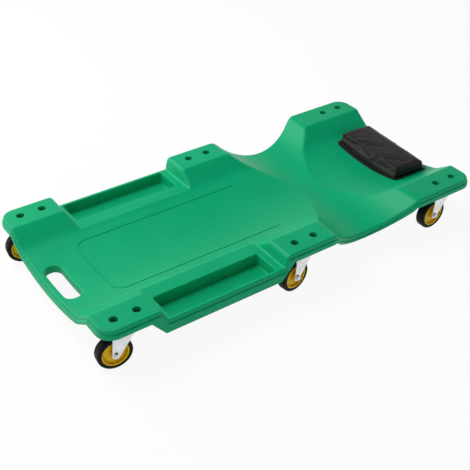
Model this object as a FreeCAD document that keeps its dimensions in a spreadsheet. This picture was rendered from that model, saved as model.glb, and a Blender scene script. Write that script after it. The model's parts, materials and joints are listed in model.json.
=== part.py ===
import FreeCAD, Part
import math
import os
import re

import Sketcher

# Mechanic creeper: a moulded deck with a body trough, six wheel pads, two tool trays, a waist and a
# hand slot, a padded headrest, and six swivel casters.
# Frame: origin on the ground under the middle of the deck, +X towards the head end, +Z up.

os.makedirs("parts", exist_ok=True)
doc = FreeCAD.newDocument("mechanic_creeper")

# Driving dimensions, in millimetres and degrees
SIZES = {
    # deck
    "deck_length": 994,
    "deck_width": 480,
    "deck_corner": 34,
    "pad_top": 120,
    "deck_thickness": 20,
    "flange_width": 3,
    "flange_drop": 9,
    "edge_round": 10,
    "rim_round": 4,
    "flange_round": 3.5,
    # body trough, between two rails
    "rail_width": 70,
    "trough_depth": 48,
    "flank_run": 44,
    "floor_edge_rise": 17,
    "floor_blend": 60,
    # pads along each rail
    "foot_pad": 128,
    "mid_pad": 135.5,
    "head_pad": 183.5,
    # tool trays, in the length that the pads and the waist leave
    "tray_step": 30,
    "foot_slope": 16,
    "head_slope": 5,
    "ledge_round": 5,
    "well_foot_margin": 8,
    "well_head_margin": 19,
    "well_wall": 12,
    "well_width": 67,
    "well_corner": 6,
    "well_depth": 25,
    "well_draft": 4,
    "well_floor": 3,
    "well_rim_round": 2,
    "well_floor_round": 3,
    "tray_foot_wall": 16,
    "tray_head_wall": 9,
    "tray_under_slope": 32,
    # waist
    "waist_length": 239,
    "waist_drop": 55,
    "waist_crown": 5,
    "waist_skin": 13.5,
    "waist_inset": 31,
    "waist_blend": 60,
    "waist_crest": 25,
    # hand slot
    "slot_inset": 35.5,
    "slot_width": 37,
    "slot_length": 117,
    "slot_corner": 17,
    "slot_round": 4,
    # moulded line on the trough floor
    "groove_foot_inset": 110,
    "groove_head_reach": 24,
    "groove_side_inset": 31,
    "groove_corner": 26,
    "groove_line": 3,
    "groove_depth": 1,
    # headrest
    "rest_length": 106,
    "rest_end_inset": 19,
    "rest_side_inset": 18,
    "rest_corner": 8,
    "rest_board": 4,
    "rest_gap": 0.1,
    "cushion_front_inset": 4,
    "cushion_back_inset": 4,
    "cushion_side_inset": 4,
    "cushion_below_pads": 10,
    "cushion_round": 5,
    "rest_screw_y": 60,
    "rest_screw_radius": 2,
    "rest_screw_head": 4.5,
    "rest_screw_head_height": 3,
    "rest_screw_well": 6,
    "rest_screw_floor": 8,
    # caster places and the way each one trails, seen from above
    "foot_row_inset": 66,
    "mid_row_inset": 67,
    "head_row_inset": 68,
    "caster_inset": 35,
    "turn_foot_left": -8,
    "turn_foot_right": -7,
    "turn_mid_left": 15,
    "turn_mid_right": 8,
    "turn_head_left": -12,
    "turn_head_right": 1,
    # caster bolts
    "bolt_pitch": 51,
    "bolt_radius": 3,
    "bolt_play": 0.3,
    "bolt_flats": 10,
    "bolt_head": 4,
    "bolt_end": 0.9,
    "bolt_well_radius": 9,
    "bolt_well_floor": 5,
    "nut_height": 5,
    "nut_play": 0.05,
    "washer_radius": 7,
    "washer_thickness": 1.6,
    # caster plate and swivel race
    "plate_length": 76,
    "plate_width": 46,
    "plate_corner": 12,
    "plate_thickness": 2.5,
    "ball_diameter": 6.35,
    "ball_count": 9,
    "ball_play": 0.3,
    "race_radius": 12.5,
    "race_lip": 2,
    "race_lip_height": 4,
    "kingpin_radius": 4,
    "kingpin_head": 6.5,
    "kingpin_foot": 7,
    "kingpin_foot_height": 3,
    "running_play": 0.05,
    # fork
    "fork_gap": 25,
    "fork_sheet": 2.5,
    "fork_front": 18,
    "fork_back": 33,
    "fork_end": 8.5,
    "fork_bend": 3.5,
    "trail": 28,
    # wheel
    "wheel_radius": 37.5,
    "tyre_width": 22,
    "tyre_thickness": 8.5,
    "tyre_shoulder": 4,
    "hub_rim_width": 20,
    "hub_rim": 3,
    "hub_web": 9,
    "hub_boss": 9,
    "hub_play": 0.4,
    "hub_round": 1.5,
    "bush_radius": 5,
}

# How edges are picked, in millimetres and degrees
SAME_PLACE = 0.01
CLOSE_BY = 1
PROBE_STEP = 0.05
ANY_RIDGE = 5
SHARP_RIDGE = 20

sheet = doc.addObject("Spreadsheet::Sheet", "Sizes")
for row, (alias, value) in enumerate(SIZES.items(), start=1):
    sheet.set(f"A{row}", alias)
    sheet.set(f"B{row}", str(value))
    sheet.setAlias(f"B{row}", alias)
doc.recompute()


def linked(text):
    """The formula with every size in it pointing at its cell in the sheet."""
    return re.sub(r"[a-z_]+", lambda word: f"Sizes.{word[0]}" if word[0] in SIZES else word[0], str(text))


def number(text):
    """What a formula comes to now."""
    return float(sheet.evalExpression(linked(text)))


# Places along and across the deck
FOOT_END = "(-deck_length / 2)"
HEAD_END = "(deck_length / 2)"
WAIST_HEAD = f"({HEAD_END} - head_pad)"
WAIST_FOOT = f"({WAIST_HEAD} - waist_length)"
WAIST_MIDDLE = f"({WAIST_HEAD} - waist_length / 2)"
FOOT_LEDGE = f"({FOOT_END} + foot_pad + foot_slope)"
HEAD_LEDGE = f"({WAIST_FOOT} - mid_pad - head_slope)"
WELL_FOOT = f"({FOOT_LEDGE} + well_foot_margin)"
WELL_HEAD = f"({HEAD_LEDGE} - well_head_margin)"
ROWS = {
    "foot": f"({FOOT_END} + foot_row_inset)",
    "mid": f"({WAIST_FOOT} - mid_pad + mid_row_inset)",
    "head": f"({HEAD_END} - head_row_inset)",
}
CASTER_SIDE = "(deck_width / 2 - caster_inset)"
TROUGH_SIDE = "(deck_width / 2 - rail_width)"
FLOOR_SIDE = f"({TROUGH_SIDE} - flank_run)"
REST_BACK = f"({HEAD_END} - rest_end_inset)"
REST_FRONT = f"({REST_BACK} - rest_length)"
REST_SIDE = f"({FLOOR_SIDE} - rest_side_inset)"

# Heights and radii that several pieces share
FLOOR_BOTTOM = "(pad_top - trough_depth)"
FLOOR_EDGE = "(pad_top - trough_depth + floor_edge_rise)"
FLOOR_RADIUS = f"(({FLOOR_SIDE}^2 + floor_edge_rise^2) / (2 * floor_edge_rise))"
WAIST_RADIUS = "((waist_length^2 / 4 + waist_drop^2) / (2 * waist_drop))"
WAIST_PLAN_RADIUS = "((waist_length^2 / 4 + waist_inset^2) / (2 * waist_inset))"
WAIST_BOTTOM = "(pad_top - waist_drop + waist_crown)"
CROWN_RADIUS = "(((deck_width / 2 - waist_inset)^2 + waist_crown^2) / (2 * waist_crown))"
CROWN_AXIS = f"({WAIST_BOTTOM} - {CROWN_RADIUS})"
LEDGE = "(pad_top - tray_step)"
PAD_UNDER = "(pad_top - deck_thickness)"
TRAY_UNDER = "(pad_top - tray_step - well_depth - well_floor)"
WELL_SEAT = "(pad_top - deck_thickness + bolt_well_floor)"
PLATE_UNDER = "(pad_top - deck_thickness - plate_thickness)"
BALL_HEIGHT = "(pad_top - deck_thickness - plate_thickness - ball_play - ball_diameter / 2)"
CROWN_TOP = "(pad_top - deck_thickness - plate_thickness - ball_diameter - 2 * ball_play)"
CROWN_UNDER = f"({CROWN_TOP} - fork_sheet)"
FLOOR_AT_SCREW = f"({FLOOR_BOTTOM} + {FLOOR_RADIUS} - sqrt({FLOOR_RADIUS}^2 - rest_screw_y^2))"
SCREW_SEAT = f"({FLOOR_AT_SCREW} - rest_screw_floor)"
HUB_RADIUS = "(wheel_radius - tyre_thickness)"
FORK_OUTSIDE = "(fork_gap / 2 + fork_sheet)"
BELOW = "(-deck_thickness)"
ABOVE = "(pad_top + deck_thickness)"


# Sketch and feature helpers
def new_body(name):
    return doc.addObject("PartDesign::Body", name)


def plane_of(body, role):
    return next(item for item in body.Origin.OriginFeatures if item.Role == role)


def new_sketch(body, role, height=None, lift=None):
    """An empty sketch on one of the body's planes, moved along its normal or its upright by formulas."""
    sketch = body.newObject("Sketcher::SketchObject", f"{body.Name}_outline")
    sketch.AttachmentSupport = [(plane_of(body, role), "")]
    sketch.MapMode = "FlatFace"
    if height is not None:
        sketch.setExpression("AttachmentOffset.Base.z", linked(height))
    if lift is not None:
        sketch.setExpression("AttachmentOffset.Base.y", linked(lift))
    return sketch


def fix_point(sketch, line, end, across, up):
    """Holds one point of a sketch at two formulas."""
    for kind, formula in (("DistanceX", across), ("DistanceY", up)):
        index = sketch.addConstraint(Sketcher.Constraint(kind, -1, 1, line, end, number(formula)))
        sketch.setExpression(f"Constraints[{index}]", linked(formula))


def fix_radius(sketch, line, radius):
    index = sketch.addConstraint(Sketcher.Constraint("Radius", line, number(radius)))
    sketch.setExpression(f"Constraints[{index}]", linked(radius))


def arc_between(start, end, radius):
    """The short arc from start to end. A positive radius turns left, a negative one right."""
    middle = (start + end) * 0.5
    chord = end - start
    reach = math.sqrt(max(radius**2 - (chord.Length / 2) ** 2, 0.0))
    to_left = FreeCAD.Vector(-chord.y, chord.x, 0).normalize()
    centre = middle + to_left * math.copysign(reach, radius)
    circle = Part.Circle(centre, FreeCAD.Vector(0, 0, 1), abs(radius))
    angles = [math.atan2(point.y - centre.y, point.x - centre.x) for point in (start, end)]
    if radius < 0:
        angles.reverse()
    return Part.ArcOfCircle(circle, angles[0], angles[1])


def draw(sketch, corners):
    """A closed outline through corners (across, up), or (across, up, radius) where an arc leads there."""
    points = [FreeCAD.Vector(number(corner[0]), number(corner[1]), 0) for corner in corners]
    arrivals = []
    for index, corner in enumerate(corners):
        start = points[index - 1]
        end = points[index]
        if len(corner) == 3:
            radius = number(corner[2])
            line = sketch.addGeometry(arc_between(start, end, radius))
            arrivals.append((line, 2 if radius > 0 else 1))
        else:
            line = sketch.addGeometry(Part.LineSegment(start, end))
            arrivals.append((line, 2))
    for index, corner in enumerate(corners):
        line, end = arrivals[index]
        next_line, next_end = arrivals[(index + 1) % len(corners)]
        sketch.addConstraint(Sketcher.Constraint("Coincident", line, end, next_line, 3 - next_end))
        fix_point(sketch, line, end, corner[0], corner[1])
        if len(corner) == 3:
            fix_radius(sketch, line, corner[2].lstrip("-"))
    return sketch


def draw_circles(sketch, centres, radius):
    for across, up in centres:
        circle = Part.Circle(
            FreeCAD.Vector(number(across), number(up), 0), FreeCAD.Vector(0, 0, 1), number(radius)
        )
        line = sketch.addGeometry(circle)
        fix_point(sketch, line, 3, across, up)
        fix_radius(sketch, line, radius)
    return sketch


def rounded_box(low_x, high_x, low_y, high_y, corner):
    """Corners of a rectangle with rounded corners, from formulas for its four sides."""
    return [
        (f"{high_x} - {corner}", low_y),
        (high_x, f"{low_y} + {corner}", corner),
        (high_x, f"{high_y} - {corner}"),
        (f"{high_x} - {corner}", high_y, corner),
        (f"{low_x} + {corner}", high_y),
        (low_x, f"{high_y} - {corner}", corner),
        (low_x, f"{low_y} + {corner}"),
        (f"{low_x} + {corner}", low_y, corner),
    ]


def pad(body, sketch, length, symmetric=False, reverse=False):
    feature = body.newObject("PartDesign::Pad", f"{body.Name}_pad")
    feature.Profile = sketch
    feature.Reversed = reverse
    feature.setExpression("Length", linked(length))
    if symmetric:
        feature.SideType = "Symmetric"
    doc.recompute()
    return feature


def pocket(body, sketch, depth, draft=None, reverse=False, symmetric=False):
    """Cuts the sketch into the body, and makes sure that it took something away."""
    before = body.Shape.Volume
    feature = body.newObject("PartDesign::Pocket", f"{body.Name}_pocket")
    feature.Profile = sketch
    feature.Reversed = reverse
    if symmetric:
        feature.SideType = "Symmetric"
    feature.setExpression("Length", linked(depth))
    if draft:
        feature.setExpression("TaperAngle", linked(f"-{draft}"))
    doc.recompute()
    if body.Shape.Volume >= before:
        raise RuntimeError(f"{feature.Name} cuts nothing")
    return feature


def turn(body, corners, role="XZ_Plane", axis="V_Axis", kind="Revolution", lift=None):
    """A turned solid about one axis of its sketch, or with kind Groove a turned cut."""
    sketch = draw(new_sketch(body, role, lift=lift), corners)
    feature = body.newObject(f"PartDesign::{kind}", f"{body.Name}_turned")
    feature.Profile = sketch
    feature.ReferenceAxis = (sketch, [axis])
    feature.Angle = 360
    doc.recompute()
    return body


def combine(body, kind, other):
    """Joins, cuts or intersects the body with another body."""
    feature = body.newObject("PartDesign::Boolean", f"{body.Name}_{kind.lower()}")
    feature.Type = kind
    feature.setObjects([other])
    feature.Refine = False
    doc.recompute()
    return feature


def same(first, second):
    return abs(first - second) < SAME_PLACE


def middle_of(edge):
    return edge.valueAt((edge.FirstParameter + edge.LastParameter) / 2)


def round_edges(body, radius, chosen):
    """Rounds the edges of the body's last feature that the given test picks."""
    base = body.Tip
    names = [
        f"Edge{index}"
        for index, edge in enumerate(base.Shape.Edges, start=1)
        if not edge.Degenerated and chosen(base.Shape, edge)
    ]
    feature = body.newObject("PartDesign::Fillet", f"{body.Name}_round")
    feature.Base = (base, names)
    feature.setExpression("Radius", linked(radius))
    doc.recompute()
    return feature


def normal_at(face, point):
    u, v = face.Surface.parameter(point)
    return face.normalAt(u, v)


def outward_bend(shape, edge):
    """How far the surface turns at an edge, in degrees: above zero on a ridge, below zero in a corner."""
    faces = shape.ancestorsOfType(edge, Part.Face)
    if len(faces) != 2:
        return 0.0
    point = middle_of(edge)
    first, second = (normal_at(face, point) for face in faces)
    angle = math.degrees(first.getAngle(second))
    along = edge.tangentAt((edge.FirstParameter + edge.LastParameter) / 2)
    inward = first.cross(along)
    probe = Part.Vertex(point + inward * PROBE_STEP)
    if faces[0].distToShape(probe)[0] > SAME_PLACE:
        inward = inward * -1
    return angle if inward.dot(second) < 0 else -angle


# Deck: the lengthwise profile and the side profile, intersected, give the moulded form
def cross_profile(body, drop):
    """The section across the deck, lowered by a formula: two rails and the trough between them."""
    rim = f"pad_top - {drop}"
    edge = f"{FLOOR_EDGE} - {drop}"
    corners = [
        ("-deck_width", BELOW),
        ("deck_width", BELOW),
        ("deck_width", rim),
        (TROUGH_SIDE, rim),
        (FLOOR_SIDE, edge),
        (f"-{FLOOR_SIDE}", edge, f"-{FLOOR_RADIUS}"),
        (f"-{TROUGH_SIDE}", rim),
        ("-deck_width", rim),
    ]
    pad(body, draw(new_sketch(body, "YZ_Plane"), corners), "2 * deck_length", symmetric=True)
    floor_edge = number(FLOOR_SIDE)
    round_edges(
        body,
        "floor_blend",
        lambda shape, line: same(abs(middle_of(line).y), floor_edge) and abs(middle_of(line).x) < CLOSE_BY,
    )
    return body


def dip_waist(body, radius, bottom):
    """Cuts the waist into a side profile, turned about a line far below so that it is crowned across."""
    depth = f"({ABOVE} - {bottom})"
    reach = f"sqrt({radius}^2 - ({radius} - {depth})^2)"
    top = f"({ABOVE} - {CROWN_AXIS})"
    corners = [
        (f"{WAIST_MIDDLE} + {reach}", top),
        (f"{WAIST_MIDDLE} - {reach}", top, f"-{radius}"),
    ]
    turn(body, corners, axis="H_Axis", kind="Groove", lift=CROWN_AXIS)


def side_profile(body, drop):
    """The view from the side, lowered by a formula: pads, the ledge between them and the waist."""
    rim = f"pad_top - {drop}"
    ledge = f"{LEDGE} - {drop}"
    corners = [
        ("-deck_length", BELOW),
        ("deck_length", BELOW),
        ("deck_length", rim),
        (f"{HEAD_LEDGE} + head_slope", rim),
        (HEAD_LEDGE, ledge),
        (FOOT_LEDGE, ledge),
        (f"{FOOT_LEDGE} - foot_slope", rim),
        ("-deck_length", rim),
    ]
    pad(body, draw(new_sketch(body, "XZ_Plane"), corners), "2 * deck_width", symmetric=True)
    dip_waist(body, WAIST_RADIUS, f"({WAIST_BOTTOM} - {drop})")
    ledge_ends = (number(FOOT_LEDGE), number(HEAD_LEDGE))
    ledge_height = number(ledge)
    round_edges(
        body,
        "ledge_round",
        lambda shape, line: same(middle_of(line).z, ledge_height)
        and any(same(middle_of(line).x, end) for end in ledge_ends),
    )
    rim_height = number(rim)
    waist_middle = number(WAIST_MIDDLE)
    waist_half = number("waist_length / 2")
    crest = number("waist_crest")
    round_edges(
        body,
        "waist_crest",
        lambda shape, line: same(middle_of(line).z, rim_height)
        and abs(abs(middle_of(line).x - waist_middle) - waist_half) < crest,
    )
    return body


def plan_outline(body, inset):
    """The deck seen from above, drawn in from its edge by a formula: rounded corners and a waist."""
    half_length = f"(deck_length / 2 - {inset})"
    half_width = f"(deck_width / 2 - {inset})"
    corners = [
        (WAIST_FOOT, f"-{half_width}"),
        (WAIST_HEAD, f"-{half_width}", f"-{WAIST_PLAN_RADIUS}"),
        (half_length, f"-{half_width}"),
        (half_length, half_width),
        (WAIST_HEAD, half_width),
        (WAIST_FOOT, half_width, f"-{WAIST_PLAN_RADIUS}"),
        (f"-{half_length}", half_width),
        (f"-{half_length}", f"-{half_width}"),
    ]
    pad(body, draw(new_sketch(body, "XY_Plane"), corners), "2 * pad_top", symmetric=True)
    end = number(half_length)
    ends = (number(WAIST_FOOT), number(WAIST_HEAD))
    round_edges(
        body,
        f"deck_corner - {inset}",
        lambda shape, line: abs(middle_of(line).z) < CLOSE_BY and same(abs(middle_of(line).x), end),
    )
    round_edges(
        body,
        "waist_blend",
        lambda shape, line: abs(middle_of(line).z) < CLOSE_BY
        and any(same(middle_of(line).x, side) for side in ends),
    )
    return body


def deck_tier(name, drop, inset, rim_radius):
    """One tier of the deck: the moulded form lowered by a drop, trimmed to its outline and rounded."""
    body = cross_profile(new_body(name), drop)
    combine(body, "Common", side_profile(new_body(f"{name}_side"), drop))
    far_x = number("deck_length") - CLOSE_BY
    far_y = number("deck_width") - CLOSE_BY
    round_edges(
        body,
        "edge_round",
        lambda shape, line: abs(middle_of(line).x) < far_x
        and abs(middle_of(line).y) < far_y
        and middle_of(line).z > 0
        and outward_bend(shape, line) > ANY_RIDGE,
    )
    combine(body, "Common", plan_outline(new_body(f"{name}_plan"), inset))
    round_edges(
        body,
        rim_radius,
        lambda shape, line: middle_of(line).z > 0 and outward_bend(shape, line) > SHARP_RIDGE,
    )
    return body


def deck_hollow():
    """The space under the deck, which leaves a wall of even thickness below the moulded form."""
    body = cross_profile(new_body("deck_hollow"), "deck_thickness")
    corners = [
        ("-deck_length", BELOW),
        ("deck_length", BELOW),
        ("deck_length", PAD_UNDER),
        (f"{WELL_HEAD} + tray_head_wall + tray_under_slope", PAD_UNDER),
        (f"{WELL_HEAD} + tray_head_wall", TRAY_UNDER),
        (f"{WELL_FOOT} - tray_foot_wall", TRAY_UNDER),
        (f"{WELL_FOOT} - tray_foot_wall - tray_under_slope", PAD_UNDER),
        ("-deck_length", PAD_UNDER),
    ]
    side = new_body("deck_hollow_side")
    pad(side, draw(new_sketch(side, "XZ_Plane"), corners), "2 * deck_width", symmetric=True)
    dip_waist(side, f"({WAIST_RADIUS} + waist_skin)", f"({WAIST_BOTTOM} - waist_skin)")
    combine(body, "Common", side)
    return body


def caster_places():
    """Name, row, side and rest turn of each caster."""
    for row, place in ROWS.items():
        for side, sign in (("left", ""), ("right", "-")):
            yield f"{row}_{side}", place, f"{sign}{CASTER_SIDE}", f"turn_{row}_{side}"


def bolt_places():
    for _, row, side, _ in caster_places():
        yield f"{row} - bolt_pitch / 2", side
        yield f"{row} + bolt_pitch / 2", side


def bolt_holes(body, play):
    return draw_circles(new_sketch(body, "XY_Plane", "pad_top"), bolt_places(), f"bolt_radius + {play}")


def tray_well(body, side):
    """One tool tray, sunk into the ledge with drafted walls, a rounded rim and a rounded floor edge."""
    middle = f"{side}(deck_width / 2 - well_wall - well_width / 2)"
    box = (WELL_FOOT, WELL_HEAD, f"{middle} - well_width / 2", f"{middle} + well_width / 2")
    outline = draw(new_sketch(body, "XY_Plane", LEDGE), rounded_box(*box, "well_corner"))
    pocket(body, outline, "well_depth", draft="well_draft")
    for height, radius in ((LEDGE, "well_rim_round"), (f"{LEDGE} - well_depth", "well_floor_round")):
        level = number(height)
        round_edges(
            body,
            radius,
            lambda shape, line: same(middle_of(line).z, level) and inside_box(line, box),
        )


def hand_slot(body):
    """The grip hole through the foot end, with rounded edges above and below."""
    middle = f"({FOOT_END} + slot_inset)"
    box = (
        f"{middle} - slot_width / 2",
        f"{middle} + slot_width / 2",
        "-slot_length / 2",
        "slot_length / 2",
    )
    outline = draw(new_sketch(body, "XY_Plane", ABOVE), rounded_box(*box, "slot_corner"))
    pocket(body, outline, "2 * pad_top")
    round_edges(
        body,
        "slot_round",
        lambda shape, line: inside_box(line, box) and outward_bend(shape, line) > SHARP_RIDGE,
    )


def groove_cutter():
    """The fine line round the lying area, open towards the head, which follows the trough floor."""
    start = f"({FOOT_END} + groove_foot_inset)"
    end = f"({ROWS['mid']} + groove_head_reach)"
    outer = f"({FLOOR_SIDE} - groove_side_inset + groove_line / 2)"
    inner = f"({FLOOR_SIDE} - groove_side_inset - groove_line / 2)"
    outer_corner = "(groove_corner + groove_line / 2)"
    inner_corner = "(groove_corner - groove_line / 2)"
    outer_x = f"({start} - groove_line / 2)"
    inner_x = f"({start} + groove_line / 2)"
    corners = [
        (end, f"-{outer}"),
        (f"{outer_x} + {outer_corner}", f"-{outer}"),
        (outer_x, f"-{outer} + {outer_corner}", f"-{outer_corner}"),
        (outer_x, f"{outer} - {outer_corner}"),
        (f"{outer_x} + {outer_corner}", outer, f"-{outer_corner}"),
        (end, outer),
        (end, inner),
        (f"{inner_x} + {inner_corner}", inner),
        (inner_x, f"{inner} - {inner_corner}", inner_corner),
        (inner_x, f"-{inner} + {inner_corner}"),
        (f"{inner_x} + {inner_corner}", f"-{inner}", inner_corner),
        (end, f"-{inner}"),
    ]
    body = new_body("groove_cutter")
    pad(body, draw(new_sketch(body, "XY_Plane"), corners), ABOVE)
    combine(body, "Cut", cross_profile(new_body("groove_floor"), "groove_depth"))
    return body


def inside_box(edge, box):
    """Whether an edge lies inside the upright box whose low and high X and Y are given as formulas."""
    low_x, high_x, low_y, high_y = (number(side) for side in box)
    bounds = edge.BoundBox
    across = low_x - CLOSE_BY < bounds.XMin and bounds.XMax < high_x + CLOSE_BY
    return across and low_y - CLOSE_BY < bounds.YMin and bounds.YMax < high_y + CLOSE_BY


def make_deck():
    body = deck_tier("deck", "flange_drop", "0", "flange_round")
    combine(body, "Fuse", deck_tier("deck_top", "0", "flange_width", "rim_round"))
    combine(body, "Cut", deck_hollow())
    combine(body, "Cut", groove_cutter())
    for side in ("", "-"):
        tray_well(body, side)
    hand_slot(body)
    wells = draw_circles(new_sketch(body, "XY_Plane", "pad_top"), bolt_places(), "bolt_well_radius")
    pocket(body, wells, "deck_thickness - bolt_well_floor")
    pocket(body, bolt_holes(body, "bolt_play"), "2 * deck_thickness")
    screw_wells = draw_circles(new_sketch(body, "XY_Plane"), screw_places(), "rest_screw_well")
    pocket(body, screw_wells, SCREW_SEAT, reverse=True)
    screw_holes = draw_circles(
        new_sketch(body, "XY_Plane"), screw_places(), "rest_screw_radius + bolt_play"
    )
    pocket(body, screw_holes, "pad_top", reverse=True)
    return body


# Headrest
def screw_places():
    for side in ("", "-"):
        yield f"{REST_BACK} - rest_length / 2", f"{side}rest_screw_y"


def make_headrest_board():
    """The stiff sheet under the cushion, bent to the trough."""
    body = new_body("headrest_board")
    outline = rounded_box(REST_FRONT, REST_BACK, f"-{REST_SIDE}", REST_SIDE, "rest_corner")
    pad(body, draw(new_sketch(body, "XY_Plane"), outline), ABOVE)
    combine(body, "Common", cross_profile(new_body("board_top"), "(-rest_gap - rest_board)"))
    combine(body, "Cut", cross_profile(new_body("board_under"), "(-rest_gap)"))
    holes = draw_circles(
        new_sketch(body, "XY_Plane"), screw_places(), "rest_screw_radius + running_play"
    )
    pocket(body, holes, "pad_top", reverse=True)
    return body


def make_headrest_cushion():
    body = new_body("headrest_cushion")
    side = f"({REST_SIDE} - cushion_side_inset)"
    outline = rounded_box(
        f"({REST_FRONT} + cushion_front_inset)",
        f"({REST_BACK} - cushion_back_inset)",
        f"-{side}",
        side,
        "cushion_round",
    )
    height = "(pad_top - cushion_below_pads)"
    pad(body, draw(new_sketch(body, "XY_Plane"), outline), height)
    combine(body, "Cut", cross_profile(new_body("cushion_under"), "(-2 * rest_gap - rest_board)"))
    top = number(height)
    round_edges(body, "cushion_round", lambda shape, line: same(middle_of(line).z, top))
    return body


def make_headrest_screw():
    corners = [
        ("rest_screw_radius", SCREW_SEAT),
        ("rest_screw_radius", f"{SCREW_SEAT} + rest_screw_floor + rest_gap + rest_board / 2"),
        ("0", f"{SCREW_SEAT} + rest_screw_floor + rest_gap + rest_board / 2"),
        ("0", f"{SCREW_SEAT} - rest_screw_head_height"),
        ("rest_screw_head", f"{SCREW_SEAT} - rest_screw_head_height"),
        ("rest_screw_head", SCREW_SEAT),
    ]
    return turn(new_body("headrest_screw"), corners)


# Fasteners, each standing on its own origin with +Z out of its head
def hexagon(name, height):
    prism = doc.addObject("Part::Prism", name)
    prism.Polygon = 6
    prism.setExpression("Circumradius", linked("bolt_flats / sqrt(3)"))
    prism.setExpression("Height", linked(height))
    return prism


def cylinder(name, radius, height, base="0"):
    rod = doc.addObject("Part::Cylinder", name)
    rod.setExpression("Radius", linked(radius))
    rod.setExpression("Height", linked(height))
    rod.setExpression("Placement.Base.z", linked(base))
    return rod


def make_bolt(name, length):
    bolt = doc.addObject("Part::Fuse", name)
    bolt.Base = hexagon(f"{name}_head", "bolt_head")
    bolt.Tool = cylinder(f"{name}_shank", "bolt_radius", length, f"-({length})")
    return bolt


def make_nut():
    nut = doc.addObject("Part::Cut", "hex_nut")
    nut.Base = hexagon("hex_nut_outside", "nut_height")
    nut.Tool = cylinder("hex_nut_bore", "bolt_radius + nut_play", "nut_height")
    return nut


def make_washer():
    washer = doc.addObject("Part::Cut", "washer")
    washer.Base = cylinder("washer_outside", "washer_radius", "washer_thickness")
    washer.Tool = cylinder("washer_bore", "bolt_radius + bolt_play", "washer_thickness")
    return washer


# Copies that follow their pattern
def placed(name, pattern, x, y, z="0", turn_angle="0", turn_axis=(0, 0, 1)):
    """A copy of a piece, moved to a place and turned about an axis by formulas."""
    copy = doc.addObject("Part::Compound", name)
    copy.Links = [pattern]
    turned = FreeCAD.Rotation(FreeCAD.Vector(*turn_axis), number(turn_angle))
    copy.Placement = FreeCAD.Placement(FreeCAD.Vector(number(x), number(y), number(z)), turned)
    for axis, formula in zip("xyz", (x, y, z)):
        copy.setExpression(f"Placement.Base.{axis}", linked(formula))
    copy.setExpression("Placement.Rotation.Angle", linked(turn_angle))
    return copy


def group(name, pieces):
    bundle = doc.addObject("Part::Compound", name)
    bundle.Links = pieces
    return bundle


def at_bolts(name, pattern, height):
    return group(
        name, [placed(f"{name}_{index}", pattern, x, y, height) for index, (x, y) in enumerate(bolt_places())]
    )


# Caster, modelled about its kingpin with the wheel trailing towards -X
def make_plate():
    """The top plate, with the lip of its ball race and a countersunk kingpin hole."""
    body = new_body("plate_pattern")
    outline = rounded_box(
        "-plate_length / 2", "plate_length / 2", "-plate_width / 2", "plate_width / 2", "plate_corner"
    )
    pad(body, draw(new_sketch(body, "XY_Plane", PLATE_UNDER), outline), "plate_thickness")
    lip = new_sketch(body, "XY_Plane", PLATE_UNDER)
    inside = "(race_radius + ball_diameter / 2 + ball_play)"
    draw_circles(lip, [("0", "0")], inside)
    draw_circles(lip, [("0", "0")], f"{inside} + race_lip")
    pad(body, lip, "race_lip_height", reverse=True)
    holes = [("-bolt_pitch / 2", "0"), ("bolt_pitch / 2", "0")]
    pocket(
        body,
        draw_circles(new_sketch(body, "XY_Plane", "pad_top"), holes, "bolt_radius + bolt_play"),
        "pad_top",
    )
    countersink = [
        ("kingpin_radius", PLATE_UNDER),
        ("kingpin_head", PAD_UNDER),
        ("0", PAD_UNDER),
        ("0", PLATE_UNDER),
    ]
    return turn(body, countersink, kind="Groove")


def make_kingpin():
    """The rivet that holds the fork to the plate and that the fork turns on."""
    foot = f"({CROWN_UNDER} - ball_play)"
    corners = [
        ("0", f"{foot} - kingpin_foot_height"),
        ("kingpin_foot", f"{foot} - kingpin_foot_height"),
        ("kingpin_foot", foot),
        ("kingpin_radius", foot),
        ("kingpin_radius", PLATE_UNDER),
        ("kingpin_head", PAD_UNDER),
        ("0", PAD_UNDER),
    ]
    return turn(new_body("kingpin_pattern"), corners)


def make_balls():
    balls = []
    for index in range(int(number("ball_count"))):
        ball = doc.addObject("Part::Sphere", f"ball_{index}")
        ball.setExpression("Radius", linked("ball_diameter / 2"))
        ball.setExpression("Placement.Base.x", linked(f"race_radius * cos(360 * {index} / ball_count)"))
        ball.setExpression("Placement.Base.y", linked(f"race_radius * sin(360 * {index} / ball_count)"))
        ball.setExpression("Placement.Base.z", linked(BALL_HEIGHT))
        balls.append(ball)
    return group("ball_pattern", balls)


def touching_point(x, y, side):
    """Where a line from a point touches the fork's round end, on one side (+1 or -1) of it."""
    across = f"({x} + trail)"
    up = f"({y} - wheel_radius)"
    angle = f"(atan2({up}; {across}) {side} acos(fork_end / sqrt({across}^2 + {up}^2)))"
    return f"-trail + fork_end * cos({angle})", f"wheel_radius + fork_end * sin({angle})"


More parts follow.
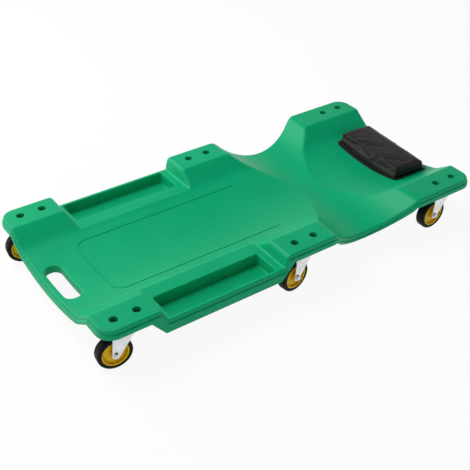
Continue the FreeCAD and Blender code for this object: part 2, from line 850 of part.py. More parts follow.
def make_fork():
    """The pressed fork: a crown under the plate and two tapering legs down to the axle."""
    body = new_body("fork_pattern")
    front = ("fork_front", CROWN_TOP)
    back = ("-fork_back", CROWN_TOP)
    corners = [
        touching_point(*back, "+"),
        (*touching_point(*front, "-"), "fork_end"),
        front,
        back,
    ]
    pad(body, draw(new_sketch(body, "XZ_Plane"), corners), f"2 * {FORK_OUTSIDE}", symmetric=True)
    channel = [
        ("-fork_gap / 2", BELOW),
        ("fork_gap / 2", BELOW),
        ("fork_gap / 2", CROWN_UNDER),
        ("-fork_gap / 2", CROWN_UNDER),
    ]
    pocket(body, draw(new_sketch(body, "YZ_Plane"), channel), "4 * wheel_radius + 4 * trail", symmetric=True)
    crown = number(CROWN_TOP)
    outside = number(FORK_OUTSIDE)
    round_edges(
        body,
        "fork_bend",
        lambda shape, line: same(middle_of(line).z, crown) and same(abs(middle_of(line).y), outside),
    )
    kingpin_hole = draw_circles(
        new_sketch(body, "XY_Plane"), [("0", "0")], "kingpin_radius + running_play"
    )
    pocket(body, kingpin_hole, "2 * pad_top", symmetric=True)
    axle_hole = draw_circles(
        new_sketch(body, "XZ_Plane"), [("-trail", "wheel_radius")], "bolt_radius + running_play"
    )
    pocket(body, axle_hole, "4 * fork_gap", symmetric=True)
    return body


def make_axle(bolt, nut):
    """The axle bolt and its nut, across the fork."""
    return group(
        "axle_pattern",
        [
            placed("axle_bolt", bolt, "-trail", f"-{FORK_OUTSIDE}", "wheel_radius", "90", (1, 0, 0)),
            placed("axle_nut", nut, "-trail", FORK_OUTSIDE, "wheel_radius", "-90", (1, 0, 0)),
        ],
    )


def on_axle(body):
    """Moves a body turned about the Y axis to the axle."""
    body.setExpression("Placement.Base.x", linked("-trail"))
    body.setExpression("Placement.Base.z", linked("wheel_radius"))
    return body


def make_bush():
    """The sleeve that keeps the fork legs apart and that the hub runs on."""
    bore = "(bolt_radius + running_play)"
    half = "fork_gap / 2"
    corners = [
        (f"-{half}", bore),
        (half, bore),
        (half, "bush_radius"),
        (f"-{half}", "bush_radius"),
    ]
    return on_axle(turn(new_body("bush_pattern"), corners, "YZ_Plane", "H_Axis"))


def make_hub():
    """The wheel centre: a boss, a thin web and the rim that the tyre sits on."""
    boss = "(fork_gap / 2 - hub_play)"
    web = "(hub_web / 2)"
    rim = "(hub_rim_width / 2)"
    rim_inside = f"({HUB_RADIUS} - hub_rim)"
    right = [
        (boss, "bush_radius + running_play"),
        (boss, "hub_boss"),
        (web, "hub_boss"),
        (web, rim_inside),
        (rim, rim_inside),
        (rim, HUB_RADIUS),
    ]
    left = [(f"-{across}", up) for across, up in reversed(right)]
    body = turn(new_body("hub_pattern"), right + left, "YZ_Plane", "H_Axis")
    bore = number("bush_radius + hub_round")
    outer = number(f"{HUB_RADIUS} - hub_round")
    round_edges(
        body,
        "hub_round",
        lambda shape, line: same(line.BoundBox.YLength, 0) and bore < line.BoundBox.ZMax < outer,
    )
    return on_axle(body)


def make_tyre():
    half = "tyre_width / 2"
    corners = [
        (f"-{half}", HUB_RADIUS),
        (half, HUB_RADIUS),
        (half, "wheel_radius - tyre_shoulder"),
        (f"{half} - tyre_shoulder", "wheel_radius", "tyre_shoulder"),
        (f"-{half} + tyre_shoulder", "wheel_radius"),
        (f"-{half}", "wheel_radius - tyre_shoulder", "tyre_shoulder"),
    ]
    return on_axle(turn(new_body("tyre_pattern"), corners, "YZ_Plane", "H_Axis"))


# Every sub-part, by the name of its file
nodes = {
    "deck": make_deck(),
    "headrest_cushion": make_headrest_cushion(),
    "headrest_board": make_headrest_board(),
}
screw = make_headrest_screw()
nodes["headrest_screws"] = group(
    "headrest_screws", [placed(f"rest_screw_{i}", screw, x, y) for i, (x, y) in enumerate(screw_places())]
)
mount_bolt = make_bolt(
    "mount_bolt", "washer_thickness + bolt_well_floor + plate_thickness + nut_height + bolt_end"
)
nut = make_nut()
nodes["mount_bolts"] = at_bolts("mount_bolts", mount_bolt, f"{WELL_SEAT} + washer_thickness")
nodes["mount_washers"] = at_bolts("mount_washers", make_washer(), WELL_SEAT)
nodes["mount_nuts"] = at_bolts("mount_nuts", nut, f"{PLATE_UNDER} - nut_height")
axle_bolt = make_bolt("axle_bolt_pattern", f"2 * {FORK_OUTSIDE} + nut_height + bolt_end")
fixed_pieces = {"plate": make_plate(), "kingpin": make_kingpin()}
turning_pieces = {
    "balls": make_balls(),
    "fork": make_fork(),
    "axle": make_axle(axle_bolt, nut),
    "bush": make_bush(),
    "hub": make_hub(),
    "tyre": make_tyre(),
}
for caster, row, side, rest_turn in caster_places():
    for piece, pattern in fixed_pieces.items():
        name = f"{caster}_{piece}"
        nodes[name] = placed(name, pattern, row, side)
    for piece, pattern in turning_pieces.items():
        name = f"{caster}_{piece}"
        nodes[name] = placed(name, pattern, row, side, turn_angle=rest_turn)
doc.recompute()

# Check and write
for item in doc.Objects:
    if "Invalid" in item.State or "Error" in item.State:
        raise RuntimeError(f"{item.Name} failed: {item.State}")
for name, node in nodes.items():
    node.Label = name
    if node.Shape.isNull() or not node.Shape.isValid():
        raise RuntimeError(f"{name} has no valid shape")
for name, node in nodes.items():
    node.Shape.exportStep(f"parts/{name}.step")
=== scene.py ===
import json
import math

import bmesh
import bpy
import numpy as np
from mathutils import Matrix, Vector
from mathutils.bvhtree import BVHTree

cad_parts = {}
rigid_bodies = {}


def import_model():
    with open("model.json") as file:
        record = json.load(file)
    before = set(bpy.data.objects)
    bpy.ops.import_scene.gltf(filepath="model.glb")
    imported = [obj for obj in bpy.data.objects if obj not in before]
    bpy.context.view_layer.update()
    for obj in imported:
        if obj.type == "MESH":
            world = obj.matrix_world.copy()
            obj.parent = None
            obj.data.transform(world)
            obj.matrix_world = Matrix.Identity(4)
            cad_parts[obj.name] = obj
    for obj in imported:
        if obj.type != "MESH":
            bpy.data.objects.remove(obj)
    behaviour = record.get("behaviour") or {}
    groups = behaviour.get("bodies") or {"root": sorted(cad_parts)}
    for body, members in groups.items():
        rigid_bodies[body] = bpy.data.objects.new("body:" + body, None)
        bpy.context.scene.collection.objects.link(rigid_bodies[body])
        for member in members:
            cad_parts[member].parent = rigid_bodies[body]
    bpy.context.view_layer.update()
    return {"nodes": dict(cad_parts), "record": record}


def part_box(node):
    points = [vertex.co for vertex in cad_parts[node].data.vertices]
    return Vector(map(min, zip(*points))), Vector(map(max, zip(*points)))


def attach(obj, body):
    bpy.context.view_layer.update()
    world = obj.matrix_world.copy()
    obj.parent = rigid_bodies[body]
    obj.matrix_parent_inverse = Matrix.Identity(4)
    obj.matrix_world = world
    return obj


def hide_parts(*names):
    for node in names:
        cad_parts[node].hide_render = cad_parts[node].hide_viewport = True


# Mechanic creeper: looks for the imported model. Metres and degrees, in the model's own frame:
# origin on the ground under the middle of the deck, +X towards the head end, +Z up.

for leftover in list(bpy.data.objects):
    bpy.data.objects.remove(leftover)

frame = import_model()
nodes = frame["nodes"]
scene = bpy.context.scene

# A Mix node repeats its socket names for each kind of data, so its colour sockets go by number
MIX_SHARE = 0
MIX_FIRST = 6
MIX_SECOND = 7
MIX_RESULT = 2


# Node helpers
def add(tree, kind, inputs=None, **settings):
    """A new node with its settings, each input set to a value or linked to another node's output."""
    made = tree.nodes.new(kind)
    for name, value in settings.items():
        setattr(made, name, value)
    for socket, value in (inputs or {}).items():
        if isinstance(value, bpy.types.NodeSocket):
            tree.links.new(value, made.inputs[socket])
        else:
            made.inputs[socket].default_value = value
    return made


def reckon(tree, operation, *values):
    """The result of one arithmetic step."""
    return add(tree, "ShaderNodeMath", dict(enumerate(values)), operation=operation).outputs["Value"]


def ramp(tree, value, low, high, out_low=0.0, out_high=1.0):
    """A value stretched from one span to another, held at its ends."""
    stretched = add(
        tree,
        "ShaderNodeMapRange",
        {"Value": value, "From Min": low, "From Max": high, "To Min": out_low, "To Max": out_high},
    )
    return stretched.outputs["Result"]


def noise(tree, place, scale, detail, roughness=0.5):
    """Uneven noise over the surface, as a number from 0 to 1."""
    inputs = {"Vector": place, "Scale": scale, "Detail": detail, "Roughness": roughness}
    return add(tree, "ShaderNodeTexNoise", inputs).outputs["Fac"]


def blend_colours(tree, share, first, second):
    inputs = {MIX_SHARE: share, MIX_FIRST: first, MIX_SECOND: second}
    return add(tree, "ShaderNodeMix", inputs, data_type="RGBA").outputs[MIX_RESULT]


def grey(level):
    return (level, level, level, 1.0)


def new_group(name, inputs, outputs):
    """A shader group with number inputs and outputs, its in and out nodes, and its Object coordinates."""
    tree = bpy.data.node_groups.new(name, "ShaderNodeTree")
    for socket, value in inputs.items():
        made = tree.interface.new_socket(socket, in_out="INPUT", socket_type="NodeSocketFloat")
        made.default_value = value
    for socket in outputs:
        tree.interface.new_socket(socket, in_out="OUTPUT", socket_type="NodeSocketFloat")
    entry = tree.nodes.new("NodeGroupInput")
    leave = tree.nodes.new("NodeGroupOutput")
    place = tree.nodes.new("ShaderNodeTexCoord").outputs["Object"]
    return tree, entry, leave, place


# Shared surface effects
BROAD_SCALE = 6.0
GRAIN_SCALE = 900.0
MIDDLE_SPAN = (0.3, 0.7)
RUB_SPAN = (0.5, 0.75)
SCRATCH_SPAN = (0.64, 0.7)
SCRATCH_TURN = 0.5  # radians


def moulded_skin():
    """Broad unevenness of a moulding, and the fine grain of its surface."""
    tree, entry, leave, place = new_group(
        "moulded_skin", {"Broad Scale": BROAD_SCALE, "Grain Scale": GRAIN_SCALE}, ("Unevenness", "Grain")
    )
    broad = noise(tree, place, entry.outputs["Broad Scale"], detail=3.0)
    grain = noise(tree, place, entry.outputs["Grain Scale"], detail=2.0, roughness=0.6)
    tree.links.new(ramp(tree, broad, *MIDDLE_SPAN), leave.inputs["Unevenness"])
    tree.links.new(grain, leave.inputs["Grain"])
    return tree


def handling_marks():
    """Faint rubs and hairline scratches, as masks."""
    tree, entry, leave, place = new_group(
        "handling_marks", {"Rub Scale": 12.0, "Scratch Scale": 90.0, "Stretch": 14.0}, ("Rubs", "Scratches")
    )
    rubs = noise(tree, place, entry.outputs["Rub Scale"], detail=6.0, roughness=0.7)
    spread = add(tree, "ShaderNodeCombineXYZ", {"X": 1.0, "Y": entry.outputs["Stretch"], "Z": 1.0})
    drawn = add(
        tree,
        "ShaderNodeMapping",
        {"Vector": place, "Rotation": (0.0, 0.0, SCRATCH_TURN), "Scale": spread.outputs["Vector"]},
    )
    lines = noise(tree, drawn.outputs["Vector"], entry.outputs["Scratch Scale"], detail=4.0)
    tree.links.new(ramp(tree, rubs, *RUB_SPAN), leave.inputs["Rubs"])
    tree.links.new(ramp(tree, lines, *SCRATCH_SPAN), leave.inputs["Scratches"])
    return tree


MOULDED_SKIN = moulded_skin()
HANDLING_MARKS = handling_marks()


# Materials
RUB_ROUGHNESS = 0.08
# Reach, span and samples of the painted shade that darkens a piece's own hollows
PAINTED_SHADE_REACH = 0.012
PAINTED_SHADE_SPAN = (0.58, 0.96)
PAINTED_SHADE_SAMPLES = 16
PEBBLE_EDGE = 0.2


def new_material(name, **sockets):
    """A material with one Principled shader, whose even values are set on its own sockets."""
    material = bpy.data.materials.new(name)
    material.use_nodes = True
    tree = material.node_tree
    shader = next(item for item in tree.nodes if item.type == "BSDF_PRINCIPLED")
    for socket, value in sockets.items():
        shader.inputs[socket.replace("_", " ")].default_value = value
    return material, tree, shader


def use_group(tree, group, **inputs):
    named = {socket.replace("_", " "): value for socket, value in inputs.items()}
    return add(tree, "ShaderNodeGroup", named, node_tree=group)


def add_bump(tree, shader, height, depth, strength=1.0):
    bump = add(tree, "ShaderNodeBump", {"Height": height, "Distance": depth, "Strength": strength})
    tree.links.new(bump.outputs["Normal"], shader.inputs["Normal"])


def moulded_plastic(
    name, deep, pale, gloss, grain_depth, broad=BROAD_SCALE, grain=GRAIN_SCALE, painted_hollow_shade=None, **sockets
):
    """A moulded plastic: two close shades, uneven gloss, fine grain, and faint marks from handling.

    Where a colour for painted shade is given, the piece's own hollows take it on: painted shade in its
    recesses.
    """
    material, tree, shader = new_material(name, **sockets)
    skin = use_group(tree, MOULDED_SKIN, Broad_Scale=broad, Grain_Scale=grain)
    marks = use_group(tree, HANDLING_MARKS)
    colour = blend_colours(tree, skin.outputs["Unevenness"], deep, pale)
    # Painted shade: the piece's own recesses, found by ambient occlusion, take a deeper colour
    if painted_hollow_shade:
        enclosure = add(
            tree,
            "ShaderNodeAmbientOcclusion",
            {"Distance": PAINTED_SHADE_REACH},
            only_local=True,
            samples=PAINTED_SHADE_SAMPLES,
        )
        unshaded_share = ramp(tree, enclosure.outputs["AO"], *PAINTED_SHADE_SPAN)
        colour = blend_colours(tree, unshaded_share, painted_hollow_shade, colour)
    tree.links.new(colour, shader.inputs["Base Color"])
    rough = reckon(tree, "MULTIPLY_ADD", marks.outputs["Rubs"], RUB_ROUGHNESS, gloss)
    tree.links.new(rough, shader.inputs["Roughness"])
    add_bump(tree, shader, skin.outputs["Grain"], grain_depth)
    return material


def plated_metal(name, dull, bright, smooth, rough):
    """Plated steel: patches of slightly different tone, soft rubs and hairlines."""
    material, tree, shader = new_material(name, Metallic=1.0)
    place = add(tree, "ShaderNodeTexCoord").outputs["Object"]
    patches = add(tree, "ShaderNodeTexVoronoi", {"Vector": place, "Scale": 160.0})
    tone = add(tree, "ShaderNodeSeparateColor", {"Color": patches.outputs["Color"]})
    marks = use_group(tree, HANDLING_MARKS, Rub_Scale=40.0, Scratch_Scale=260.0)
    colour = blend_colours(tree, tone.outputs["Red"], dull, bright)
    tree.links.new(colour, shader.inputs["Base Color"])
    tree.links.new(ramp(tree, marks.outputs["Rubs"], 0.0, 1.0, smooth, rough), shader.inputs["Roughness"])
    add_bump(tree, shader, marks.outputs["Scratches"], depth=0.00002, strength=0.5)
    return material


def upholstery_vinyl(name, deep, pale, smooth, rough, **sockets):
    """Soft dark vinyl with a pebbled grain."""
    material, tree, shader = new_material(name, **sockets)
    place = add(tree, "ShaderNodeTexCoord").outputs["Object"]
    pebbles = add(
        tree, "ShaderNodeTexVoronoi", {"Vector": place, "Scale": 700.0}, feature="DISTANCE_TO_EDGE"
    )
    skin = use_group(tree, MOULDED_SKIN, Broad_Scale=30.0, Grain_Scale=1500.0)
    colour = blend_colours(tree, skin.outputs["Unevenness"], deep, pale)
    tree.links.new(colour, shader.inputs["Base Color"])
    uneven = ramp(tree, skin.outputs["Grain"], *MIDDLE_SPAN, smooth, rough)
    tree.links.new(uneven, shader.inputs["Roughness"])
    add_bump(tree, shader, ramp(tree, pebbles.outputs["Distance"], 0.0, PEBBLE_EDGE), depth=0.0001)
    return material


def paint(mesh, material):
    mesh.materials.clear()
    mesh.materials.append(material)


DECK_GREEN = moulded_plastic(
    "deck_green",
    deep=(0.001, 0.395, 0.168, 1.0),
    pale=(0.002, 0.435, 0.190, 1.0),
    gloss=0.41,
    grain_depth=0.00006,
    Specular_IOR_Level=0.16,
)
SHEET_BLACK = moulded_plastic(
    "sheet_black", deep=grey(0.008), pale=grey(0.014), gloss=0.5, grain_depth=0.00008
)
HUB_YELLOW = moulded_plastic(
    "hub_yellow",
    deep=(1.0, 0.70, 0.004, 1.0),
    pale=(1.0, 0.76, 0.008, 1.0),
    gloss=0.26,
    grain_depth=0.00002,
    broad=60.0,
    # Painted shade: the hub's recessed web is painted a deeper amber in place of the shade that falls there
    painted_hollow_shade=(0.66, 0.24, 0.001, 1.0),
    Specular_IOR_Level=0.2,
)
TYRE_BLACK = moulded_plastic(
    "tyre_black",
    deep=(0.005, 0.005, 0.006, 1.0),
    pale=(0.009, 0.009, 0.010, 1.0),
    gloss=0.5,
    grain_depth=0.00006,
    broad=50.0,
    grain=1600.0,
    Specular_IOR_Level=0.1,
)
ZINC = plated_metal(
    "zinc", dull=(0.66, 0.68, 0.69, 1.0), bright=(0.78, 0.80, 0.81, 1.0), smooth=0.34, rough=0.46
)
BRIGHT_STEEL = plated_metal(
    "bright_steel", dull=(0.55, 0.56, 0.57, 1.0), bright=(0.66, 0.67, 0.68, 1.0), smooth=0.22, rough=0.36
)
HEADREST_VINYL = upholstery_vinyl(
    "headrest_vinyl",
    deep=(0.012, 0.012, 0.010, 1.0),
    pale=(0.019, 0.018, 0.016, 1.0),
    smooth=0.42,
    rough=0.52,
    Specular_IOR_Level=0.25,
)

FINISHES = {
    "deck_green": DECK_GREEN,
    "headrest_vinyl": HEADREST_VINYL,
    "board_black": SHEET_BLACK,
    "zinc": ZINC,
    "bright_steel": BRIGHT_STEEL,
    "hub_yellow": HUB_YELLOW,
    "tyre_black": TYRE_BLACK,
}
for subpart in frame["record"]["subparts"]:
    paint(nodes[subpart["node"]].data, FINISHES[subpart["material_slot"]])


# Mesh helpers
def new_object(name, data):
    made = bpy.data.objects.new(name, data)
    scene.collection.objects.link(made)
    return made


def finished_mesh(piece):
    """The plain mesh that a piece's modifiers make."""
    evaluated = piece.evaluated_get(bpy.context.evaluated_depsgraph_get())
    return bpy.data.meshes.new_from_object(evaluated)


def settle(piece):
    """Turns what a piece's modifiers make into its own plain mesh."""
    mesh = finished_mesh(piece)
    piece.modifiers.clear()
    piece.data = mesh


def points_of(mesh):
    flat = np.empty(len(mesh.vertices) * 3)
    mesh.vertices.foreach_get("co", flat)
    return flat.reshape(-1, 3)


def normals_of(mesh):
    flat = np.empty(len(mesh.vertices) * 3, dtype=np.float32)
    mesh.vertex_normals.foreach_get("vector", flat)
    return flat.reshape(-1, 3).astype(float)


def put_points(mesh, points):
    mesh.vertices.foreach_set("co", points.astype(np.float32).ravel())
    mesh.update()


def new_vertex_group(piece, name, chosen):
    """A vertex group of the points for which chosen is true."""
    group = piece.vertex_groups.new(name=name)
    group.add([int(index) for index in np.flatnonzero(chosen)], 1.0, "REPLACE")


def skin_of(mesh):
    """A mesh's faces, ready to be hit by rays."""
    corners = [vert.co for vert in mesh.vertices]
    return BVHTree.FromPolygons(corners, [face.vertices for face in mesh.polygons])


def rise(values, low, high):
    """0 at low, 1 at high, smooth between and level beyond."""
    share = np.clip((values - low) / (high - low), 0.0, 1.0)
    return share * share * (3.0 - 2.0 * share)


def hump(values, middle, width):
    return np.exp(-(((values - middle) / width) ** 2))


# Height, pitch factor, phase factor and start of the sines in a set of uneven waves
WAVE_PARTS = (
    (0.55, 1.0, 1.0, 0.0),
    (0.3, 1.73, 2.1, 1.0),
    (0.25, 2.91, 0.7, 2.0),
)


def waves(along, pitch, phase):
    """Uneven waves along an edge: three sines whose pitches don't repeat together."""
    turns = 2.0 * math.pi * along / pitch
    return sum(
        height * np.sin(closer * turns + later * phase + start)
        for height, closer, later, start in WAVE_PARTS
    )


# Headrest cushion: a wrapped block, swelled by a cloth simulation, with a gathered front
PAD_LOW, PAD_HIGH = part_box("headrest_cushion")
SHEET_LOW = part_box("headrest_board")[0]
PAD_SOLID = skin_of(nodes["headrest_cushion"].data)
PAD_BACK_IN = 0.001
PAD_SIDE_OUT = 0.0015
PAD_FRONT_IN = 0.0045
PAD_LEAN = 0.005
PAD_BACK_LEAN = 0.005
PAD_TURN = math.radians(-3.2)
PAD_CROWN = 0.0015
PAD_CUTS = 15
PAD_VOXEL = 0.004
PAD_LEVELS = 2
PAD_PRESSURE = 4.0
PAD_SWELL_LIMIT = 0.002
PAD_FRAMES = 20
EDGE_MARGIN = 0.012

# How far a unit normal leans before a surface counts as facing that way. A pair goes from none to wholly.
FACING_DOWN = -0.5
FACING_FORWARD = (0.3, 0.8)
FACING_SIDEWAYS = (0.45, 0.85)
FACING_UP = (0.4, 0.85)

# Pitch and phase of the waves in the gathered edge and in the folds
PUCKER_WAVE = (0.064, 0.8)
CREASE_WAVE = (0.19, 0.3)
FOLD_WAVE = (0.072, 1.9)
SLACK_WAVE = (0.11, 0.4)
SLACK_CROSS_WAVE = (0.08, 1.1)
SIDE_FOLD_WAVE = (0.05, 0.2)
FOLD_SLANT = 0.9
SLACK_SLANT = 0.4
SLACK_CROSS_SLANT = 0.3

# Depths and heights in metres. Places and widths up the front are shares of the cushion's height.
SEAM_SHARE = 0.54
SEAM_DEPTH = 0.0016
SEAM_WIDTH = 0.06
CREASE_SWING = 0.06
CREASE_DEPTH = 0.0014
CREASE_WIDTH = 0.05
RECESS_DEPTH = 0.0034
RECESS_START = 0.1
RECESS_PAST_CREASE = 0.2
RECESS_END = (0.84, 0.96)
RECESS_PUCKER = 0.3
ROLL_HEIGHT = 0.0006
ROLL_PUCKER = 0.003
ROLL_SHARE = 0.9
ROLL_WIDTH = 0.14
SAG_DEPTH = 0.0022
SAG_EVEN = 0.4
SAG_PUCKER = 0.6
SAG_REACH = 0.011
SAG_SPAN = (0.6, 0.95)
FOLD_HEIGHT = 0.0019
FOLD_REACH = 0.024
SLACK_HEIGHT = 0.0004
SIDE_FOLD_HEIGHT = 0.0005
CALM_SPAN = (0.02, 0.005)
CALM_LIMIT = 0.1
CALM_FACTOR = 0.5
CALM_ROUNDS = 3

# Height, place and width across, and place and width up, of the bulge and the hollow in the front
FRONT_LUMPS = (
    (0.006, -0.014, 0.011, 0.74, 0.18),
    (-0.003, 0.034, 0.026, 0.76, 0.18),
)


def underside_heights(points):
    """The height of the solid cushion's underside below each point."""
    heights = []
    for x, y in points[:, :2]:
        inside_x = min(max(x, PAD_LOW.x + EDGE_MARGIN), PAD_HIGH.x - EDGE_MARGIN)
        inside_y = min(max(y, PAD_LOW.y + EDGE_MARGIN), PAD_HIGH.y - EDGE_MARGIN)
        hit = PAD_SOLID.ray_cast(Vector((inside_x, inside_y, 0.0)), Vector((0.0, 0.0, 1.0)))
        heights.append(hit[0].z)
    return np.array(heights)


def pad_block(name):
    """The cushion before it is stuffed: crisp edges, an underside that follows the sheet, a slight turn."""
    builder = bmesh.new()
    bmesh.ops.create_cube(builder, size=2.0)
    bmesh.ops.subdivide_edges(builder, edges=builder.edges, cuts=PAD_CUTS, use_grid_fill=True)
    mesh = bpy.data.meshes.new(name)
    builder.to_mesh(mesh)
    builder.free()
    cube = points_of(mesh)
    share = (cube[:, 2] + 1.0) / 2.0
    front = SHEET_LOW.x + PAD_FRONT_IN + PAD_LEAN * share
    back = PAD_HIGH.x - PAD_BACK_IN - PAD_BACK_LEAN * share
    half_width = (PAD_HIGH.y - PAD_LOW.y) / 2 + PAD_SIDE_OUT
    along = front + (back - front) * (cube[:, 0] + 1.0) / 2.0
    across = half_width * cube[:, 1]
    middle = (PAD_LOW.x + PAD_HIGH.x) / 2
    points = np.empty_like(cube)
    points[:, 0] = middle + (along - middle) * math.cos(PAD_TURN) - across * math.sin(PAD_TURN)
    points[:, 1] = (along - middle) * math.sin(PAD_TURN) + across * math.cos(PAD_TURN)
    under = underside_heights(points)
    crown = PAD_CROWN * (1.0 - cube[:, 0] ** 2) * (1.0 - cube[:, 1] ** 2)
    top = PAD_HIGH.z + crown
    points[:, 2] = under + (top - under) * share
    put_points(mesh, points)
    return new_object(name, mesh)


def swell(piece):
    """Blows the cushion up a little as cloth, with its underside held.

    Only the outward part of the movement counts, as if the block inside kept the skin from drawing in.
    """
    start = points_of(piece.data)
    outward = normals_of(piece.data)
    new_vertex_group(piece, "underside", outward[:, 2] < FACING_DOWN)
    cloth = piece.modifiers.new("swell", "CLOTH")
    cloth.settings.vertex_group_mass = "underside"
    cloth.settings.use_pressure = True
    cloth.settings.uniform_pressure_force = PAD_PRESSURE
    cloth.settings.effector_weights.gravity = 0.0
    cloth.point_cache.frame_start = 1
    cloth.point_cache.frame_end = PAD_FRAMES
    for number in range(1, PAD_FRAMES + 1):
        scene.frame_set(number)
    settle(piece)
    swelled = np.sum((points_of(piece.data) - start) * outward, axis=1, keepdims=True)
    put_points(piece.data, start + outward * np.clip(swelled, 0.0, PAD_SWELL_LIMIT))
    scene.frame_set(1)


def gather(piece):
    """The puckered front edge, the crease below it, and the folds that run from it over the top."""
    points = points_of(piece.data)
    normals = normals_of(piece.data)
    across = points[:, 1]
    under = underside_heights(points)
    share = (points[:, 2] - under) / (PAD_HIGH.z - under)
    back = points[:, 0] - (SHEET_LOW.x + PAD_FRONT_IN + PAD_LEAN) + math.tan(PAD_TURN) * across
    behind = np.maximum(back, 0.0)
    forward = rise(-normals[:, 0], *FACING_FORWARD)
    sideways = rise(np.hypot(normals[:, 0], normals[:, 1]), *FACING_SIDEWAYS) * (1.0 - forward)
    upward = rise(normals[:, 2], *FACING_UP)

    pucker = waves(across, *PUCKER_WAVE)
    crease_share = SEAM_SHARE + CREASE_SWING * waves(across, *CREASE_WAVE)
    in_recess = rise(share, RECESS_START, crease_share + RECESS_PAST_CREASE)
    in_recess *= 1.0 - rise(share, *RECESS_END)
    recess = -RECESS_DEPTH * in_recess * (1.0 + RECESS_PUCKER * pucker)
    crease = -CREASE_DEPTH * hump(share, crease_share, CREASE_WIDTH)
    edge_roll = (ROLL_HEIGHT + ROLL_PUCKER * pucker) * hump(share, ROLL_SHARE, ROLL_WIDTH)
    lumps = sum(
        height * hump(across, place, width) * hump(share, level, spread)
        for height, place, width, level, spread in FRONT_LUMPS
    )
    front = (recess + crease + edge_roll + lumps) * forward

    near_edge = np.exp(-behind / SAG_REACH) * rise(share, *SAG_SPAN)
    sag = -SAG_DEPTH * (SAG_EVEN + SAG_PUCKER * pucker) * near_edge
    folds = FOLD_HEIGHT * np.exp(-behind / FOLD_REACH) * waves(across + FOLD_SLANT * back, *FOLD_WAVE)
    slack_along = waves(across + SLACK_SLANT * back, *SLACK_WAVE)
    slack_across = waves(back - SLACK_CROSS_SLANT * across, *SLACK_CROSS_WAVE)
    top_folds = (folds + SLACK_HEIGHT * slack_along * slack_across) * upward
    seam = -SEAM_DEPTH * hump(share, SEAM_SHARE, SEAM_WIDTH)
    side_folds = (seam + SIDE_FOLD_HEIGHT * waves(points[:, 0] + across, *SIDE_FOLD_WAVE)) * sideways

    points += normals * (top_folds + side_folds)[:, None]
    points[:, 0] -= front
    points[:, 2] += sag
    put_points(piece.data, points)
    new_vertex_group(piece, "front", forward * rise(back, *CALM_SPAN) > CALM_LIMIT)
    calm = piece.modifiers.new("calm", "SMOOTH")
    calm.vertex_group = "front"
    calm.factor = CALM_FACTOR
    calm.iterations = CALM_ROUNDS
    settle(piece)


def make_cushion():
    cushion = pad_block("headrest_pad")
    remesh = cushion.modifiers.new("even", "REMESH")
    remesh.mode = "VOXEL"
    remesh.voxel_size = PAD_VOXEL
    settle(cushion)
    swell(cushion)
    finer = cushion.modifiers.new("finer", "SUBSURF")
    finer.levels = PAD_LEVELS
    finer.render_levels = PAD_LEVELS
    settle(cushion)
    gather(cushion)
    cushion.data.polygons.foreach_set("use_smooth", [True] * len(cushion.data.polygons))
    paint(cushion.data, HEADREST_VINYL)
    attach(cushion, "creeper_deck")
    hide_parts("headrest_cushion")
    return cushion


# Seam stitches
STITCH_PITCH = 0.0055
STITCH_LENGTH = 0.0034
STITCH_RADIUS = 0.0004
STITCH_SIDES = 6
SEAM_CORNER = 0.014
SEAM_REACH = 0.03
SEAM_STEPS = 60


def seam_path(cushion):
    """Points on the cushion's skin, along the seam over the two sides and the front."""
    skin = skin_of(cushion.data)
    front = PAD_LOW.x + SEAM_CORNER
    rear = PAD_HIGH.x - SEAM_CORNER
    walks = (
        ((rear, PAD_HIGH.y), (front, PAD_HIGH.y), (0, -1)),
        ((PAD_LOW.x, PAD_HIGH.y - SEAM_CORNER), (PAD_LOW.x, PAD_LOW.y + SEAM_CORNER), (1, 0)),
        ((front, PAD_LOW.y), (rear, PAD_LOW.y), (0, 1)),
    )
    path = []
    for start, end, inward in walks:
        for step in range(SEAM_STEPS + 1):
            share = step / SEAM_STEPS
            x = start[0] + (end[0] - start[0]) * share
            y = start[1] + (end[1] - start[1]) * share
            aim = Vector((inward[0], inward[1], 0.0))
            under = underside_heights(np.array([[x, y, 0.0]]))[0]
            height = under + SEAM_SHARE * (PAD_HIGH.z - under)
            hit = skin.ray_cast(Vector((x, y, height)) - aim * SEAM_REACH, aim)
            if hit[0] is not None:
                path.append(hit[0])
    return path


def stitch_tree():
    """Short thread stitches at an even pitch along a path."""
    tree = bpy.data.node_groups.new("stitches", "GeometryNodeTree")
    tree.interface.new_socket("Geometry", in_out="INPUT", socket_type="NodeSocketGeometry")
    for name, value in (("Pitch", STITCH_PITCH), ("Length", STITCH_LENGTH), ("Radius", STITCH_RADIUS)):
        made = tree.interface.new_socket(name, in_out="INPUT", socket_type="NodeSocketFloat")
        made.default_value = value
    tree.interface.new_socket("Thread", in_out="INPUT", socket_type="NodeSocketMaterial")
    tree.interface.new_socket("Geometry", in_out="OUTPUT", socket_type="NodeSocketGeometry")
    entry = tree.nodes.new("NodeGroupInput")
    leave = tree.nodes.new("NodeGroupOutput")
    spaced = add(
        tree,
        "GeometryNodeResampleCurve",
        {"Curve": entry.outputs["Geometry"], "Length": entry.outputs["Pitch"]},
        mode="LENGTH",
    )
    thread = add(
        tree,
        "GeometryNodeMeshCylinder",
        {"Vertices": STITCH_SIDES, "Radius": entry.outputs["Radius"], "Depth": entry.outputs["Length"]},
    )
    tangent = add(tree, "GeometryNodeInputTangent")
    turn = add(tree, "FunctionNodeAlignRotationToVector", {"Vector": tangent.outputs["Tangent"]}, axis="Z")
    laid = add(
        tree,
        "GeometryNodeInstanceOnPoints",
        {
            "Points": spaced.outputs["Curve"],
            "Instance": thread.outputs["Mesh"],
            "Rotation": turn.outputs["Rotation"],
        },
    )
    real = add(tree, "GeometryNodeRealizeInstances", {"Geometry": laid.outputs["Instances"]})
    dressed = add(
        tree,
        "GeometryNodeSetMaterial",
        {"Geometry": real.outputs["Geometry"], "Material": entry.outputs["Thread"]},
    )
    tree.links.new(dressed.outputs["Geometry"], leave.inputs["Geometry"])
    return tree


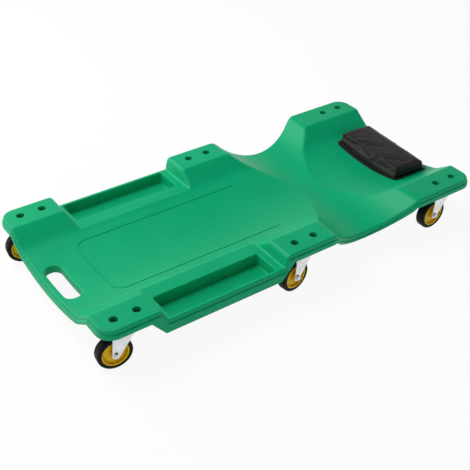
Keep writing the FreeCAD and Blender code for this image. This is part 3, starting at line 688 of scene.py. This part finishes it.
def make_stitches(cushion):
    path = seam_path(cushion)
    curve = bpy.data.curves.new("seam_line", "CURVE")
    curve.dimensions = "3D"
    line = curve.splines.new("POLY")
    line.points.add(len(path) - 1)
    for point, place in zip(line.points, path):
        point.co = (*place, 1.0)
    guide = new_object("seam_line", curve)
    maker = guide.modifiers.new("stitches", "NODES")
    maker.node_group = stitch_tree()
    thread = next(
        item.identifier for item in maker.node_group.interface.items_tree if item.name == "Thread"
    )
    maker[thread] = SHEET_BLACK
    mesh = finished_mesh(guide)
    bpy.data.objects.remove(guide)
    stitches = new_object("headrest_stitches", mesh)
    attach(stitches, "creeper_deck")


make_stitches(make_cushion())


# Stage: a plain pale floor, a white room with a dark ceiling, two soft lamps, and the camera
WALL_TOP = 0.2
CEILING = 0.6
CEILING_LIGHT = 0.05
FLOOR_SIZE = 6.0
FLOOR_GLOW = 0.92
FLOOR_TONE = 0.95
FLOOR_BOUNCE = 0.8
LAMP_SIZE = 1.6
LAMP_AIM = Vector((0.0, 0.0, 0.1))
WHITE = grey(1.0)


def floor_material():
    """White with a faint shadow for the camera and for reflections, greyer for the light it throws back."""
    material = bpy.data.materials.new("floor_white")
    material.use_nodes = True
    tree = material.node_tree
    tree.nodes.clear()
    path = add(tree, "ShaderNodeLightPath")
    seen = reckon(tree, "MAXIMUM", path.outputs["Is Camera Ray"], path.outputs["Is Glossy Ray"])
    colour = blend_colours(tree, seen, grey(FLOOR_BOUNCE), grey(FLOOR_TONE))
    matt = add(tree, "ShaderNodeBsdfDiffuse", {"Color": colour})
    glow = add(tree, "ShaderNodeEmission", {"Color": WHITE, "Strength": 1.0})
    share = ramp(tree, seen, 0.0, 1.0, 0.0, FLOOR_GLOW)
    mixed = add(tree, "ShaderNodeMixShader", {0: share, 1: matt.outputs["BSDF"], 2: glow.outputs["Emission"]})
    add(tree, "ShaderNodeOutputMaterial", {"Surface": mixed.outputs["Shader"]})
    return material


def make_floor():
    mesh = bpy.data.meshes.new("floor")
    corners = [(x * FLOOR_SIZE, y * FLOOR_SIZE, 0.0) for x, y in ((-1, -1), (1, -1), (1, 1), (-1, 1))]
    mesh.from_pydata(corners, [], [(0, 1, 2, 3)])
    mesh.materials.append(floor_material())
    floor = new_object("floor", mesh)


def make_world():
    """A white room with a dark ceiling, which the camera sees as plain white."""
    world = bpy.data.worlds.new("studio")
    world.use_nodes = True
    scene.world = world
    tree = world.node_tree
    tree.nodes.clear()
    path = add(tree, "ShaderNodeLightPath")
    way = add(tree, "ShaderNodeTexCoord").outputs["Generated"]
    height = add(tree, "ShaderNodeSeparateXYZ", {"Vector": way}).outputs["Z"]
    room = ramp(tree, height, WALL_TOP, CEILING, 1.0, CEILING_LIGHT)
    strength = reckon(tree, "MAXIMUM", room, path.outputs["Is Camera Ray"])
    light = add(tree, "ShaderNodeBackground", {"Color": WHITE, "Strength": strength})
    add(tree, "ShaderNodeOutputWorld", {"Surface": light.outputs["Background"]})


def make_lamp(name, place, power):
    lamp = bpy.data.lights.new(name, "AREA")
    lamp.shape = "DISK"
    lamp.size = LAMP_SIZE
    lamp.energy = power
    holder = new_object(name, lamp)
    holder.location = place
    aim = LAMP_AIM - Vector(place)
    holder.rotation_euler = aim.to_track_quat("-Z", "Y").to_euler()


def make_camera():
    lens = bpy.data.cameras.new("camera")
    lens.sensor_width = 36.0
    lens.lens = 68.99
    camera = new_object("camera", lens)
    camera.location = (-1.03515, -1.36076, 1.24984)
    camera.rotation_euler = [math.radians(angle) for angle in (53.966, -1.380, -35.581)]
    scene.camera = camera


make_floor()
make_world()
make_lamp("key", (-0.9, 0.9, 2.45), 43.0)
make_lamp("back", (-0.9, 2.0, 1.7), 26.0)
make_camera()
scene.view_settings.view_transform = "Standard"
